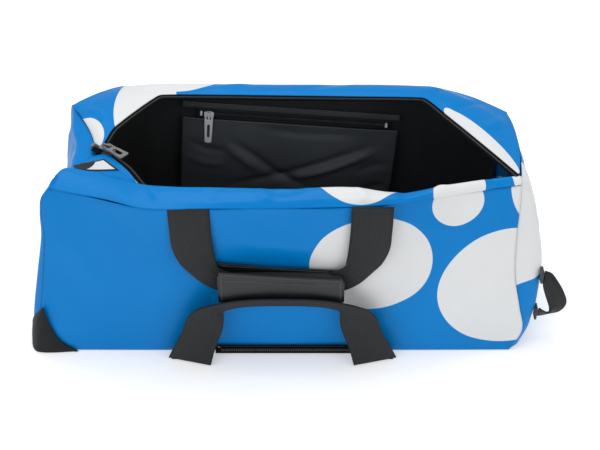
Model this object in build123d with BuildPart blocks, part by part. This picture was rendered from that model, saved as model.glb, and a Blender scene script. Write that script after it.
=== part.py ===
"""Holdall for ski boots, standing on its base with the mouth pulled wide open.

+X runs along the bag towards the grab loop, +Y from the carrying-handle side to the far side, +Z up.
The origin is the middle of the base where it rests. All sizes are in millimetres.
"""

import os
from math import cos, radians, sin

from build123d import *

os.makedirs("parts", exist_ok=True)

# ---------------------------------------------------------------- driving dimensions
half_length = 306     # of the base
half_depth = 115
wall = 2.0            # coated outer fabric with its seam allowance
lining_wall = 0.8
lining_gap = 0.7      # between outer fabric and lining
seam_gap = 1.5        # sewn edges stand this far apart
lining_trim = 12      # the lining stops this short of each seam
lift = 1.2            # keeps the top halves just clear of the walls' sewn edges
foot = 1.0            # height of the walls' lower edges
web_width = 50
web_thick = 2.2
folded_width = 26     # the webbing is folded double where it is gripped
folded_thick = 4.8
tape_width = 11
tape_thick = 0.8

# Corners and bends of the walls' top edges, on the outer face.
front_left_corner = Vector(-267, -94, 252)
front_left_bend = Vector(-148, -122, 250)
front_right_bend = Vector(97, -120, 250)
front_right_corner = Vector(304, -70, 248)
back_left_corner = Vector(-262, 84, 256)
back_left_bend = Vector(-194, 122, 258)
back_right_bend = Vector(208, 122, 258)
back_right_corner = Vector(306, 72, 254)

# Where the main zip closes at the left end, and where it runs out at the right end.
zip_y = -14
zip_z = 253
zip_left_x = -219
zip_right_end = Vector(296, -57, 248)

inward_front, inward_back = Vector(0, 1, 0), Vector(0, -1, 0)
inward_left = Vector(1, 0, 0)
up = Vector(0, 0, 1)


def moved(point, x=0.0, y=0.0, z=0.0):
    return point + Vector(x, y, z)


def cross_section(points, inward, start, thick, margin):
    """A face that follows the points with its thickness growing inward from the start distance."""
    along = (points[-1] - points[0]).normalized()
    plane = Plane(origin=points[0], x_dir=along, z_dir=along.cross(inward))
    local = [plane.to_local_coords(point) for point in points]
    local[0] = local[0] + (local[1] - local[0]).normalized() * margin
    local[-1] = local[-1] + (local[-2] - local[-1]).normalized() * margin
    sides = []
    for distance in (start, start + thick):
        side = []
        for index, point in enumerate(local):
            before = local[max(index - 1, 0)]
            after = local[min(index + 1, len(local) - 1)]
            tangent = (after - before).normalized()
            side.append((point.X - tangent.Y * distance, point.Y + tangent.X * distance))
        sides.append(side)
    with BuildSketch(plane) as section:
        with BuildLine():
            Polyline(*sides[0], *reversed(sides[1]), close=True)
        make_face()
    return section.sketch.face()


def trimmed(stations, amount):
    """The same stations with the first and last brought in towards their neighbours."""
    first = [a + (b - a).normalized() * amount for a, b in zip(stations[0], stations[1])]
    last = [a + (b - a).normalized() * amount for a, b in zip(stations[-1], stations[-2])]
    return [first, *stations[1:-1], last]


def sheet(stations, inward, thick=wall, start=0.0, margin=0.0):
    """The cross-sections of a piece of cloth, one for each station."""
    directions = inward if isinstance(inward, list) else [inward] * len(stations)
    return [cross_section(*pair, start, thick, margin) for pair in zip(stations, directions)]


def lining_of(stations, inward):
    start = wall + lining_gap
    return sheet(trimmed(stations, lining_trim), inward, lining_wall, start, lining_trim)


def web_section(centre, along, across, width, thick):
    """A rectangular cut through webbing, across being the direction of its width."""
    with BuildSketch(Plane(origin=centre, x_dir=across, z_dir=along)) as section:
        Rectangle(width, thick)
    return section.sketch.face()


# ---------------------------------------------------------------- outer walls and their lining
end_depth = half_depth - wall - seam_gap
left_edge = -half_length - seam_gap
right_edge = half_length + seam_gap
bulge_height = 90     # the slack right-hand end swells outward most at this height

front_wall = [
    (Vector(-half_length, -half_depth, foot), front_left_corner),
    (Vector(-150, -half_depth, foot), front_left_bend),
    (Vector(100, -half_depth, foot), front_right_bend),
    (Vector(half_length, -half_depth, foot), front_right_corner),
]
back_wall = [
    (Vector(-half_length, half_depth, foot), back_left_corner),
    (Vector(-190, half_depth, foot), back_left_bend),
    (Vector(208, half_depth, foot), back_right_bend),
    (Vector(half_length, half_depth, foot), back_right_corner),
]
left_wall = [
    (Vector(left_edge, -end_depth, foot), moved(front_left_corner, -seam_gap, 3.6, -1)),
    (Vector(left_edge - 3, zip_y, foot), Vector(zip_left_x - 4, zip_y, 245)),
    (Vector(left_edge, end_depth, foot), moved(back_left_corner, -seam_gap, -3.6, -1)),
]
right_wall = [
    (
        Vector(right_edge, -end_depth, foot),
        Vector(right_edge + 3, -end_depth + 6, bulge_height),
        moved(front_right_corner, 3, 4, -1),
    ),
    (Vector(right_edge + 9, -110, foot), Vector(330, -102, bulge_height), Vector(309, -64, 247)),
    (Vector(right_edge + 13, -100, foot), Vector(340, -93, bulge_height), Vector(310, -58, 247)),
    (Vector(right_edge + 14, -82, foot), Vector(342, -76, bulge_height), Vector(311, -46, 247)),
    (Vector(right_edge + 14, 20, foot), Vector(338, 20, bulge_height), Vector(312, 20, 248)),
    (Vector(right_edge + 10, 92, foot), Vector(328, 90, bulge_height), Vector(311, 60, 250)),
    (
        Vector(right_edge, end_depth, foot),
        Vector(right_edge + 3, end_depth - 6, bulge_height),
        moved(back_right_corner, 3, -4, -1),
    ),
]
right_lining_run = [
    (Vector(303, -98, 12), Vector(299, -62, 236)),
    (Vector(304, 0, 12), Vector(304, 0, 238)),
    (Vector(303, 98, 12), Vector(299, 62, 242)),
]
inward_bulge = [
    Vector(-0.4, 1, 0),
    Vector(-0.6, 1, 0),
    Vector(-1, 0.6, 0),
    Vector(-1, 0.1, 0),
    Vector(-1, 0, 0),
    Vector(-1, -0.5, 0),
    Vector(-0.6, -1, 0),
]

with BuildPart() as front_panel:
    loft(sheet(front_wall, inward_front), ruled=True)
with BuildPart() as back_panel:
    loft(sheet(back_wall, inward_back), ruled=True)
with BuildPart() as left_end_panel:
    loft(sheet(left_wall, inward_left), ruled=True)
with BuildPart() as right_end_panel:
    loft(sheet(right_wall, inward_bulge), ruled=True)
with BuildPart() as front_lining:
    loft(lining_of(front_wall, inward_front), ruled=True)
with BuildPart() as back_lining:
    loft(lining_of(back_wall, inward_back), ruled=True)
with BuildPart() as left_lining:
    loft(lining_of(left_wall, inward_left), ruled=True)
with BuildPart() as right_lining:
    loft(sheet(right_lining_run, Vector(-1, 0, 0), lining_wall), ruled=True)

# ---------------------------------------------------------------- base
base_thick = 2.5
board_thick = 3.0
board_z = base_thick + 0.3
base_lining_z = board_z + board_thick + 0.4
with BuildPart() as base_panel:
    with BuildSketch():
        RectangleRounded(2 * (half_length - seam_gap), 2 * end_depth, 12)
    extrude(amount=base_thick)
with BuildPart() as base_board:
    with BuildSketch(Plane.XY.offset(board_z)):
        RectangleRounded(2 * half_length - 36, 2 * end_depth - 20, 18)
    extrude(amount=board_thick)
with BuildPart() as base_lining:
    with BuildSketch(Plane.XY.offset(base_lining_z)):
        RectangleRounded(2 * half_length - 30, 2 * end_depth - 14, 20)
    extrude(amount=lining_wall)

# ---------------------------------------------------------------- top halves that carry the zip
# Each station runs from the rim over the crest to the free edge. The front half is folded down inside.
front_top = [
    (moved(front_left_corner, 5, 2, lift), Vector(-240, -62, 252), Vector(-216, zip_y - 20, zip_z - 1)),
    (Vector(-190, -112.4, 252), Vector(-176, -86, 258), Vector(-180, -60, 250)),
    (moved(front_left_bend, 0, 0, lift), Vector(-142, -96, 262), Vector(-138, -84, 228)),
    (Vector(0, -121.2, 251.2), Vector(0, -106, 264), Vector(0, -94, 222)),
    (moved(front_right_bend, 0, 0, lift), Vector(97, -106, 261), Vector(97, -95, 222)),
    (Vector(200, -95.1, 250.2), Vector(200, -84, 256), Vector(196, -76, 224)),
    (moved(front_right_corner, -4, 1, lift), Vector(298, -64, 251), Vector(293, -62, 249)),
]
back_edge = [
    Vector(-218, zip_y + 24, zip_z - 1),
    Vector(-187, 36, 262),
    Vector(-150, 83, 272),
    Vector(192, 82, 272),
    Vector(226, 58, 264),
    Vector(262, 2, 262),
    moved(zip_right_end, -4, 12, 6),
]
back_rim = [
    moved(back_left_corner, 5, -4, lift),
    Vector(-228, 103.8, 258.4),
    moved(back_left_bend, 6, 0, lift),
    moved(back_right_bend, -6, 0, lift),
    Vector(236, 106.7, 258),
    Vector(270, 89.8, 256.5),
    moved(back_right_corner, -3, -3, lift),
]
with BuildPart() as front_top_panel:
    loft(sheet(front_top, up, 1.6), ruled=True)
with BuildPart() as back_top_panel:
    loft(sheet(list(zip(back_rim, back_edge)), up, 1.6), ruled=True)

# ---------------------------------------------------------------- main zip
edge_gap = 0.8        # the tapes start this far beyond the cloth's free edge


def tape_beyond(stations, near, far):
    """Stations of a strip that carries on past the free edge, between two distances from it."""
    strips = []
    for points in stations:
        onward = (points[-1] - points[-2]).normalized()
        strips.append((points[-1] + onward * near, points[-1] + onward * far))
    return strips


back_top = list(zip(back_rim, back_edge))
front_run = [front_top[1], *front_top[2:6], front_top[6]]
coil_size = 3.2
coil_near = edge_gap + tape_width + 2.2
with BuildPart() as main_zip_tape_front:
    loft(sheet(tape_beyond(front_run, edge_gap, edge_gap + tape_width), up, tape_thick), ruled=True)
with BuildPart() as main_zip_coil_front:
    loft(sheet(tape_beyond(front_run, coil_near, coil_near + coil_size), up, coil_size, -1.0), ruled=True)
with BuildPart() as main_zip_tape_back:
    loft(sheet(tape_beyond(back_top[1:], edge_gap, edge_gap + tape_width), up, tape_thick), ruled=True)
with BuildPart() as main_zip_coil_back:
    loft(sheet(tape_beyond(back_top[1:], coil_near, coil_near + coil_size), up, coil_size, -1.0), ruled=True)

# The joined end of the zip, left of the slider. Local x points the way the zip opens.
zip_heading = -25
zip_plane = Plane(
    origin=(-206, zip_y, zip_z),
    x_dir=(cos(radians(zip_heading)), sin(radians(zip_heading)), 0),
    z_dir=(0, 0, 1),
)
joined_start = -18
joined_end = -5
joined_length = joined_end - joined_start
coil_width = 5.2
coil_top = tape_thick + 0.1 + coil_size - 1
with BuildPart() as main_zip_joined_tape:
    with BuildSketch(zip_plane):
        with Locations(((joined_start + joined_end) / 2, 0)):
            Rectangle(joined_length, 18)
    extrude(amount=tape_thick)
with BuildPart() as main_zip_joined_coil:
    with BuildSketch(zip_plane.offset(tape_thick + 0.1)):
        with Locations(((joined_start + 1 + joined_end) / 2, 0)):
            Rectangle(joined_length - 1, coil_width)
    extrude(amount=coil_size - 1)
with BuildPart() as main_zip_end_stop:
    with BuildSketch(zip_plane.offset(-0.2)):
        with Locations((joined_start - 2.2, 0)):
            RectangleRounded(3.4, 8, 0.8)
    extrude(amount=coil_top + 0.4)


# ---------------------------------------------------------------- sliders and pullers
bail_length = 11
bail_thick = 2.2
bail_clear = 3.2      # height of the eye under the bail
bail_bar = 1.2
bar_half = 0.9        # half the size of the puller's cross bar
eye_end = 6.8         # from the bar's middle to the solid part of the puller


def make_slider(plane, length, width, low, high, plate, hanging=False, back_plate=True):
    """A zip slider: plates above and below the chain, a neck between them and a bail on top.

    A hanging puller drops across the zip, so its bail is turned a quarter round.
    """
    half = length / 2
    outline = [
        (-half, -width * 0.36),
        (half * 0.3, -width / 2),
        (half, -width / 2 + 1.2),
        (half, width / 2 - 1.2),
        (half * 0.3, width / 2),
        (-half, width * 0.36),
    ]
    with BuildPart() as slider:
        with BuildSketch(plane.offset(high)):
            Polygon(*outline, align=None)
        extrude(amount=plate)
        if back_plate:
            with BuildSketch(plane.offset(low - plate)):
                Polygon(*outline, align=None)
            extrude(amount=plate)
            with BuildSketch(plane.offset(low)):
                with Locations((half - 2.5, 0)):
                    Rectangle(3.6, 3)
            extrude(amount=high - low)
        else:
            with BuildSketch(plane.offset(low)):
                with Locations((0, width / 2 - 1.9), (0, 1.9 - width / 2)):
                    Rectangle(length * 0.5, 1.2)
            extrude(amount=high - low)
        if hanging:
            side = Plane(origin=plane.origin, x_dir=plane.y_dir, z_dir=plane.x_dir)
        else:
            side = Plane(origin=plane.origin, x_dir=plane.x_dir, z_dir=plane.y_dir * -1)
        bail_height = bail_clear + bail_bar
        with BuildSketch(side.offset(-bail_thick / 2)):
            with Locations((0, high + plate + bail_height / 2)):
                Rectangle(min(bail_length, width - 0.6), bail_height)
            with Locations((0, high + plate + bail_clear / 2)):
                Rectangle(5, bail_clear, mode=Mode.SUBTRACT)
        extrude(amount=bail_thick)
    return slider.part


def make_puller(plane, length, width, tip_width, thick):
    """A flat pull tab with a cross bar at its origin, a bail eye next to it and a long finger slot."""
    slot_length = (length - eye_end) * 0.58
    with BuildPart() as tab:
        with BuildSketch(plane.offset(-thick / 2)):
            Polygon(
                (-bar_half, -width / 2),
                (length * 0.35, -width / 2),
                (length - 1.5, -tip_width / 2),
                (length, -tip_width / 2 + 1.5),
                (length, tip_width / 2 - 1.5),
                (length - 1.5, tip_width / 2),
                (length * 0.35, width / 2),
                (-bar_half, width / 2),
                align=None,
            )
            with Locations(((bar_half + eye_end) / 2, 0)):
                Rectangle(eye_end - bar_half, 6, mode=Mode.SUBTRACT)
            with Locations((eye_end + (length - eye_end) / 2, 0)):
                SlotOverall(slot_length, tip_width * 0.42, mode=Mode.SUBTRACT)
        extrude(amount=thick)
    return tab.part


slider_length = 18
slider_width = 13
slider_plate = 1.6
main_low = -0.8
main_high = coil_top + 0.7
puller_thick = 1.6
pivot_height = main_high + slider_plate + bail_clear / 2
puller_heading = -40
puller_plane = Plane(
    origin=zip_plane.from_local_coords(Vector(0, 0, pivot_height)),
    x_dir=(cos(radians(puller_heading)), sin(radians(puller_heading)), 0),
    z_dir=(0, 0, 1),
)
with BuildPart() as main_slider_body:
    add(make_slider(zip_plane, slider_length, slider_width, main_low, main_high, slider_plate))
with BuildPart() as main_puller:
    add(make_puller(puller_plane, 33, 11.4, 14, puller_thick))

# ---------------------------------------------------------------- zipped pocket inside the far wall
back_lean = (back_left_bend.Y - half_depth) / back_left_bend.Z
pocket_tilt = 4.5
pocket_left, pocket_right = -124, 170
pocket_low, pocket_top = 90, 211
pocket_thick = 1.0
pocket_middle = (pocket_left + pocket_right) / 2
pocket_face = half_depth + back_lean * pocket_top - wall - lining_gap - lining_wall - 0.8
pocket_plane = Plane(
    origin=(pocket_middle, pocket_face, pocket_top),
    x_dir=(cos(radians(pocket_tilt)), 0, -sin(radians(pocket_tilt))),
    z_dir=Vector(0, -1, back_lean),
)
pocket_zip_length = 262
pocket_zip_middle = 4
pocket_tape_height = 14
pocket_coil_height = 4.2
pocket_coil_thick = 2.0
with BuildPart() as pocket_panel:
    with BuildSketch(pocket_plane):
        with Locations((0, -pocket_tape_height / 2 - 0.8)):
            Rectangle(pocket_right - pocket_left, pocket_top - pocket_low, align=(Align.CENTER, Align.MAX))
    extrude(amount=pocket_thick)
with BuildPart() as pocket_top_binding:
    with BuildSketch(pocket_plane):
        with Locations((0, pocket_tape_height / 2 + 0.8)):
            Rectangle(pocket_right - pocket_left, 9, align=(Align.CENTER, Align.MIN))
    extrude(amount=pocket_thick)
with BuildPart() as pocket_zip_tape:
    with BuildSketch(pocket_plane):
        with Locations((pocket_zip_middle, 0)):
            Rectangle(pocket_zip_length, pocket_tape_height)
    extrude(amount=tape_thick)
with BuildPart() as pocket_zip_coil:
    with BuildSketch(pocket_plane.offset(tape_thick + 0.1)):
        with Locations((pocket_zip_middle, 0)):
            Rectangle(pocket_zip_length - 16, pocket_coil_height)
    extrude(amount=pocket_coil_thick)
pocket_stop_x = pocket_zip_length / 2 - 5.5
with BuildPart() as pocket_zip_stops:
    with BuildSketch(pocket_plane.offset(tape_thick + 0.1)):
        with Locations((pocket_zip_middle - pocket_stop_x, 0), (pocket_zip_middle + pocket_stop_x, 0)):
            RectangleRounded(3, 6.4, 0.8)
    extrude(amount=pocket_coil_thick)
pocket_slider_x = pocket_zip_middle - pocket_zip_length / 2 + 16
pocket_high = tape_thick + pocket_coil_thick + 0.4
pocket_plate = 1.3
pocket_slider_plane = Plane(
    origin=pocket_plane.from_local_coords(Vector(pocket_slider_x, 0, 0)),
    x_dir=pocket_plane.x_dir,
    z_dir=pocket_plane.z_dir,
)
pocket_pivot = pocket_high + pocket_plate + bail_clear / 2
pocket_puller_plane = Plane(
    origin=pocket_slider_plane.from_local_coords(Vector(0, 0, pocket_pivot)),
    x_dir=pocket_plane.y_dir * -1,
    z_dir=pocket_plane.z_dir,
)
with BuildPart() as pocket_slider_body:
    add(make_slider(pocket_slider_plane, 13, 9.6, 1.0, pocket_high, pocket_plate, True, False))
with BuildPart() as pocket_puller:
    add(make_puller(pocket_puller_plane, 44, 11, 9, 1.4))

# ---------------------------------------------------------------- zip along the front bottom edge
front_lean = (half_depth + front_left_bend.Y) / front_left_bend.Z
hem_left, hem_right = -76, 152
hem_z = 8.4
hem_plane = Plane(
    origin=((hem_left + hem_right) / 2, -half_depth - 1.1, hem_z),
    x_dir=(1, 0, 0),
    z_dir=Vector(0, -1, front_lean),
)
hem_length = hem_right - hem_left
with BuildPart() as hem_zip_tape:
    with BuildSketch(hem_plane):
        Rectangle(hem_length, 11.6)
    extrude(amount=tape_thick)
with BuildPart() as hem_zip_coil:
    with BuildSketch(hem_plane.offset(tape_thick + 0.1)):
        Rectangle(hem_length - 14, pocket_coil_height)
    extrude(amount=pocket_coil_thick)
with BuildPart() as hem_zip_stops:
    with BuildSketch(hem_plane.offset(tape_thick + 0.1)):
        with Locations((4.6 - hem_length / 2, 0), (hem_length / 2 - 4.6, 0)):
            RectangleRounded(3, 6.4, 0.8)
    extrude(amount=pocket_coil_thick)
hem_slider_plane = Plane(
    origin=hem_plane.from_local_coords(Vector(hem_length / 2 - 15, 0, 0)),
    x_dir=(-1, 0, 0),
    z_dir=hem_plane.z_dir,
)
hem_puller_plane = Plane(
    origin=hem_slider_plane.from_local_coords(Vector(0, 0, pocket_pivot)),
    x_dir=(-1, 0, 0),
    z_dir=hem_plane.z_dir,
)
with BuildPart() as hem_slider_body:
    add(make_slider(hem_slider_plane, 12, 9.6, 1.0, pocket_high, pocket_plate, False, False))
with BuildPart() as hem_puller:
    add(make_puller(hem_puller_plane, 19, 10.6, 8, 1.4))

# ---------------------------------------------------------------- upper carrying handle
hang_y = -124.6       # the straps hang this far in front of the wall
hang_z = 249
upper_left_x, upper_right_x = -97, 123
grip_left, grip_right = -67, 90
grip_length = grip_right - grip_left
grip_middle = (grip_left + grip_right) / 2
grip_y = -127.6
grip_z = 129
strap_turn = 40       # height over which a strap turns into the grip


def upper_leg(outer_x, inner_x, side):
    """Sections of one strap, from the seam down and round to the grip. Side is +1 for the left strap."""
    sections = []
    for height, width in ((hang_z, web_width), (hang_z - 45, web_width), (grip_z + strap_turn, 47)):
        centre = Vector(outer_x, hang_y, height)
        sections.append(web_section(centre, Vector(0, 0, -1), Vector(1, 0, 0), width, web_thick))
    for angle, width, thick in ((35, 40, 3.0), (65, 32, 4.0)):
        turned = sin(radians(angle))
        left = cos(radians(angle))
        centre = Vector(
            outer_x + (inner_x - outer_x) * (1 - left) * 0.9,
            hang_y + (grip_y - hang_y) * angle / 90,
            grip_z + strap_turn * (1 - turned) ** 1.1,
        )
        along = Vector(side * turned, 0, -left)
        across = Vector(left, 0, side * turned)
        sections.append(web_section(centre, along, across, width, thick))
    end = Vector(inner_x, grip_y, grip_z)
    sections.append(web_section(end, Vector(side, 0, 0), Vector(0, 0, side), folded_width, folded_thick))
    return sections


left_strap = upper_leg(upper_left_x, grip_left, 1)
right_strap = upper_leg(upper_right_x, grip_right, -1)
with BuildPart() as upper_handle_webbing:
    loft(left_strap, ruled=True)
    loft(right_strap, ruled=True)
    with BuildSketch(Plane.YZ.offset(grip_left)):
        with Locations((grip_y, grip_z)):
            Rectangle(folded_thick, folded_width)
    extrude(amount=grip_length)

sleeve_gap = 0.3
core_thick = 12.4
core_height = 46
wrap_thick = 1.2
core_inset = 2
wrap_inner_thick = core_thick + 2 * sleeve_gap
wrap_inner_height = core_height + 2 * sleeve_gap
with BuildPart() as grip_core:
    with BuildSketch(Plane.YZ.offset(grip_left + core_inset)):
        with Locations((grip_y, grip_z)):
            RectangleRounded(core_thick, core_height, 5.5)
            Rectangle(folded_thick + 2 * sleeve_gap, folded_width + 2 * sleeve_gap, mode=Mode.SUBTRACT)
    extrude(amount=grip_length - 2 * core_inset)
with BuildPart() as grip_wrap:
    with BuildSketch(Plane.YZ.offset(grip_left)):
        with Locations((grip_y, grip_z)):
            RectangleRounded(wrap_inner_thick + 2 * wrap_thick, wrap_inner_height + 2 * wrap_thick, 6.9)
            RectangleRounded(wrap_inner_thick, wrap_inner_height, 5.7, mode=Mode.SUBTRACT)
    extrude(amount=grip_length)

# The wrap closes at the front with a flap held by hook-and-loop strips.
strip_thick = 0.9
strip_length = grip_length - 14
flap_thick = 1.4
flap_height = 38
wrap_front = Plane(
    origin=(grip_middle, grip_y - wrap_inner_thick / 2 - wrap_thick - 0.1, grip_z),
    x_dir=(1, 0, 0),
    z_dir=(0, -1, 0),
)
with BuildPart() as grip_loop_strip:
    with BuildSketch(wrap_front):
        Rectangle(strip_length, 16)
    extrude(amount=strip_thick)
with BuildPart() as grip_hook_strip:
    with BuildSketch(wrap_front.offset(strip_thick + 0.2)):
        Rectangle(strip_length, 15)
    extrude(amount=strip_thick)
with BuildPart() as grip_flap:
    with BuildSketch(wrap_front.offset(2 * strip_thick + 0.3)):
        with Locations((0, -1)):
            RectangleRounded(grip_length - 4, flap_height, 5)
    extrude(amount=flap_thick)

# ---------------------------------------------------------------- lower carrying handle
lower_left_x, lower_right_x = -107, 131
lower_y = -133
lower_z = 3.4
arch_y = -129.5
arch_z = 90
arch_width = 22
arch_step = 46        # how far the top band's ends stand in from the feet
view_tilt = 40        # the top band leans over, its front edge higher than its back edge
foot_width = 52
band_across = Vector(0, cos(radians(view_tilt)), -sin(radians(view_tilt)))


def lower_leg(foot_x, side):
    """Sections of one leg, from the foot up and twisting over into the top band."""
    sections = []
    legs = ((lower_z, lower_y, foot_width, 0), (28, -131.6, web_width, 8), (50, -130.4, 46, 14))
    for height, y, width, step in legs:
        centre = Vector(foot_x + side * step, y, height)
        sections.append(web_section(centre, up, Vector(1, 0, 0), width, web_thick))
    steps = (
        (0.25, 40, 2.8, 18, 66),
        (0.5, 33, 3.6, 24, 79),
        (0.75, 27, 4.2, 33, 87),
        (1, arch_width, folded_thick, arch_step, arch_z),
    )
    for share, width, thick, step, height in steps:
        along = Vector(side * share, 0, 1 - share).normalized()
        across = Vector(1 - share, 0, 0) + band_across * (side * share)
        across = (across - along * across.dot(along)).normalized()
        sections.append(web_section(Vector(foot_x + side * step, arch_y, height), along, across, width, thick))
    return sections


left_leg = lower_leg(lower_left_x, 1)
right_leg = lower_leg(lower_right_x, -1)
band_start = Plane(origin=(lower_left_x + arch_step, arch_y, arch_z), x_dir=band_across, z_dir=(1, 0, 0))
with BuildPart() as lower_handle_webbing:
    loft(left_leg, ruled=True)
    loft(right_leg, ruled=True)
    with BuildSketch(band_start):
        Rectangle(arch_width, folded_thick)
    extrude(amount=lower_right_x - lower_left_x - 2 * arch_step)
anchor_front = lower_y + 1.6
anchor_back = -half_depth - 1.5
with BuildPart() as lower_handle_anchors:
    with BuildSketch():
        with Locations((lower_left_x, anchor_back), (lower_right_x, anchor_back)):
            Rectangle(foot_width, anchor_back - anchor_front, align=(Align.CENTER, Align.MAX))
    extrude(amount=web_thick)

# ---------------------------------------------------------------- grab loop on the right-hand end
loop_y = -90
loop_high, loop_low = 112, 48
loop_axis_x = 348
loop_thick = 2.2
loop_run = (
    (loop_axis_x + 0.4, loop_high, -4, 12),
    (358, 110, -14, 15),
    (371, 102, -48, 21),
    (379, 88, -78, 24),
    (380, 74, -98, 24),
    (373, 59, -130, 21),
    (359, 50, -160, 15),
    (loop_axis_x + 0.4, loop_low, -176, 12),
)
loop_sections = []
for x, height, heading, width in loop_run:
    run = Vector(cos(radians(heading)), 0, sin(radians(heading)))
    loop_sections.append(web_section(Vector(x, loop_y, height), run, Vector(0, 1, 0), width, loop_thick))
with BuildPart() as end_handle_webbing:
    loft(loop_sections, ruled=True)
with BuildPart() as end_handle_anchors:
    for height in (loop_high, loop_low):
        with BuildSketch(Plane.XZ.offset(-loop_y - 6)):
            with Locations((loop_axis_x - 2.8, height)):
                Rectangle(2.6, loop_thick, align=(Align.MAX, Align.CENTER))
            with Locations((loop_axis_x - 3.8, height)):
                Rectangle(1.4, 22, align=(Align.MAX, Align.CENTER))
        extrude(amount=12)

# ---------------------------------------------------------------- corner guards and label
guard_thick = 1.6
guard_width = 54
guard_height = 72
guard_x = -half_length - 5
guard_gap = 0.4
with BuildPart() as corner_guard_front:
    with BuildSketch(Plane.XZ.offset(half_depth + guard_gap)):
        Polygon((guard_x, 0), (guard_x + guard_width, 0), (guard_x, guard_height), align=None)
    extrude(amount=guard_thick)
    with BuildSketch(Plane.YZ.offset(guard_x)):
        Polygon(
            (-half_depth - guard_gap - guard_thick, 0),
            (-half_depth + guard_width, 0),
            (-half_depth - guard_gap - guard_thick, guard_height),
            align=None,
        )
    extrude(amount=guard_thick)
with BuildPart() as corner_guard_back:
    add(mirror(corner_guard_front.part, Plane.XZ))

label_plane = Plane(origin=(-234, -50, 257.6), x_dir=(0.93, 0.36, 0), z_dir=(-0.05, -0.08, 1))
with BuildPart() as label_patch:
    with BuildSketch(label_plane):
        RectangleRounded(46, 21, 2)
    extrude(amount=1.2)

# ---------------------------------------------------------------- files
pieces = {
    "front_panel": front_panel,
    "back_panel": back_panel,
    "left_end_panel": left_end_panel,
    "right_end_panel": right_end_panel,
    "front_lining": front_lining,
    "back_lining": back_lining,
    "left_lining": left_lining,
    "right_lining": right_lining,
    "base_panel": base_panel,
    "base_board": base_board,
    "base_lining": base_lining,
    "front_top_panel": front_top_panel,
    "back_top_panel": back_top_panel,
    "main_zip_tape_front": main_zip_tape_front,
    "main_zip_tape_back": main_zip_tape_back,
    "main_zip_coil_front": main_zip_coil_front,
    "main_zip_coil_back": main_zip_coil_back,
    "main_zip_joined_tape": main_zip_joined_tape,
    "main_zip_joined_coil": main_zip_joined_coil,
    "main_zip_end_stop": main_zip_end_stop,
    "main_slider_body": main_slider_body,
    "main_puller": main_puller,
    "pocket_panel": pocket_panel,
    "pocket_top_binding": pocket_top_binding,
    "pocket_zip_tape": pocket_zip_tape,
    "pocket_zip_coil": pocket_zip_coil,
    "pocket_zip_stops": pocket_zip_stops,
    "pocket_slider_body": pocket_slider_body,
    "pocket_puller": pocket_puller,
    "hem_zip_tape": hem_zip_tape,
    "hem_zip_coil": hem_zip_coil,
    "hem_zip_stops": hem_zip_stops,
    "hem_slider_body": hem_slider_body,
    "hem_puller": hem_puller,
    "upper_handle_webbing": upper_handle_webbing,
    "grip_core": grip_core,
    "grip_wrap": grip_wrap,
    "grip_loop_strip": grip_loop_strip,
    "grip_hook_strip": grip_hook_strip,
    "grip_flap": grip_flap,
    "lower_handle_webbing": lower_handle_webbing,
    "lower_handle_anchors": lower_handle_anchors,
    "end_handle_webbing": end_handle_webbing,
    "end_handle_anchors": end_handle_anchors,
    "corner_guard_front": corner_guard_front,
    "corner_guard_back": corner_guard_back,
    "label_patch": label_patch,
}
for piece_name, piece in pieces.items():
    piece.part.label = piece_name
    export_step(piece.part, f"parts/{piece_name}.step")
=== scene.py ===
import math

import bmesh
import bpy
from mathutils import Matrix, Vector, geometry, noise
from mathutils.bvhtree import BVHTree


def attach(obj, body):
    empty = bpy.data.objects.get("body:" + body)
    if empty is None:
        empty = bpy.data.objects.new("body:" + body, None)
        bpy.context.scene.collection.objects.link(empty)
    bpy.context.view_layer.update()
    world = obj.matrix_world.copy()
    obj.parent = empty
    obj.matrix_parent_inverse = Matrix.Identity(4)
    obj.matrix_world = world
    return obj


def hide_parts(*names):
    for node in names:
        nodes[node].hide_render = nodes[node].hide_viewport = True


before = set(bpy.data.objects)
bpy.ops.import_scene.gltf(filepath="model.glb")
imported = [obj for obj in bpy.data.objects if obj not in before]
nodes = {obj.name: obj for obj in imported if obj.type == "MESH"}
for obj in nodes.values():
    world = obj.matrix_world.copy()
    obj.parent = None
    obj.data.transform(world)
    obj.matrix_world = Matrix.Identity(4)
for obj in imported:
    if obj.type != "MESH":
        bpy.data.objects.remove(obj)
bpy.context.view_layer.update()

# ------------------------------------------------------------------ studio
# A plain pale floor under soft, even light, with the camera looking down into
# the open mouth of the bag.
MM = 0.001
scene = bpy.context.scene
scene.view_settings.view_transform = "Standard"

camera_data = bpy.data.cameras.new("camera")
camera_data.lens = 72
camera_data.sensor_width = 36
camera = bpy.data.objects.new("camera", camera_data)
camera.location = (0.035, -1.2226, 1.1457)
camera.rotation_euler = (math.radians(50), 0, 0)
scene.collection.objects.link(camera)
scene.camera = camera

world = bpy.data.worlds.new("soft_room")
world.use_nodes = True
world.node_tree.nodes["Background"].inputs["Color"].default_value = (1, 1, 1, 1)
world.node_tree.nodes["Background"].inputs["Strength"].default_value = 0.62
scene.world = world


def soft_light(name, place, aim, size, power):
    """A square soft box that shines from place towards aim."""
    lamp = bpy.data.lights.new(name, "AREA")
    lamp.size = size
    lamp.energy = power
    made = bpy.data.objects.new(name, lamp)
    made.location = place
    made.rotation_euler = (Vector(aim) - Vector(place)).to_track_quat("-Z", "Y").to_euler()
    scene.collection.objects.link(made)


soft_light("overhead", (-0.1, 0.25, 1.7), (0, 0, 0.1), 1.2, 14)
soft_light("front_left", (-1.3, -1.5, 1.0), (0, 0, 0.1), 1.0, 7)
soft_light("front_right", (1.4, -1.2, 0.9), (0, 0, 0.1), 1.0, 5)


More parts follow.
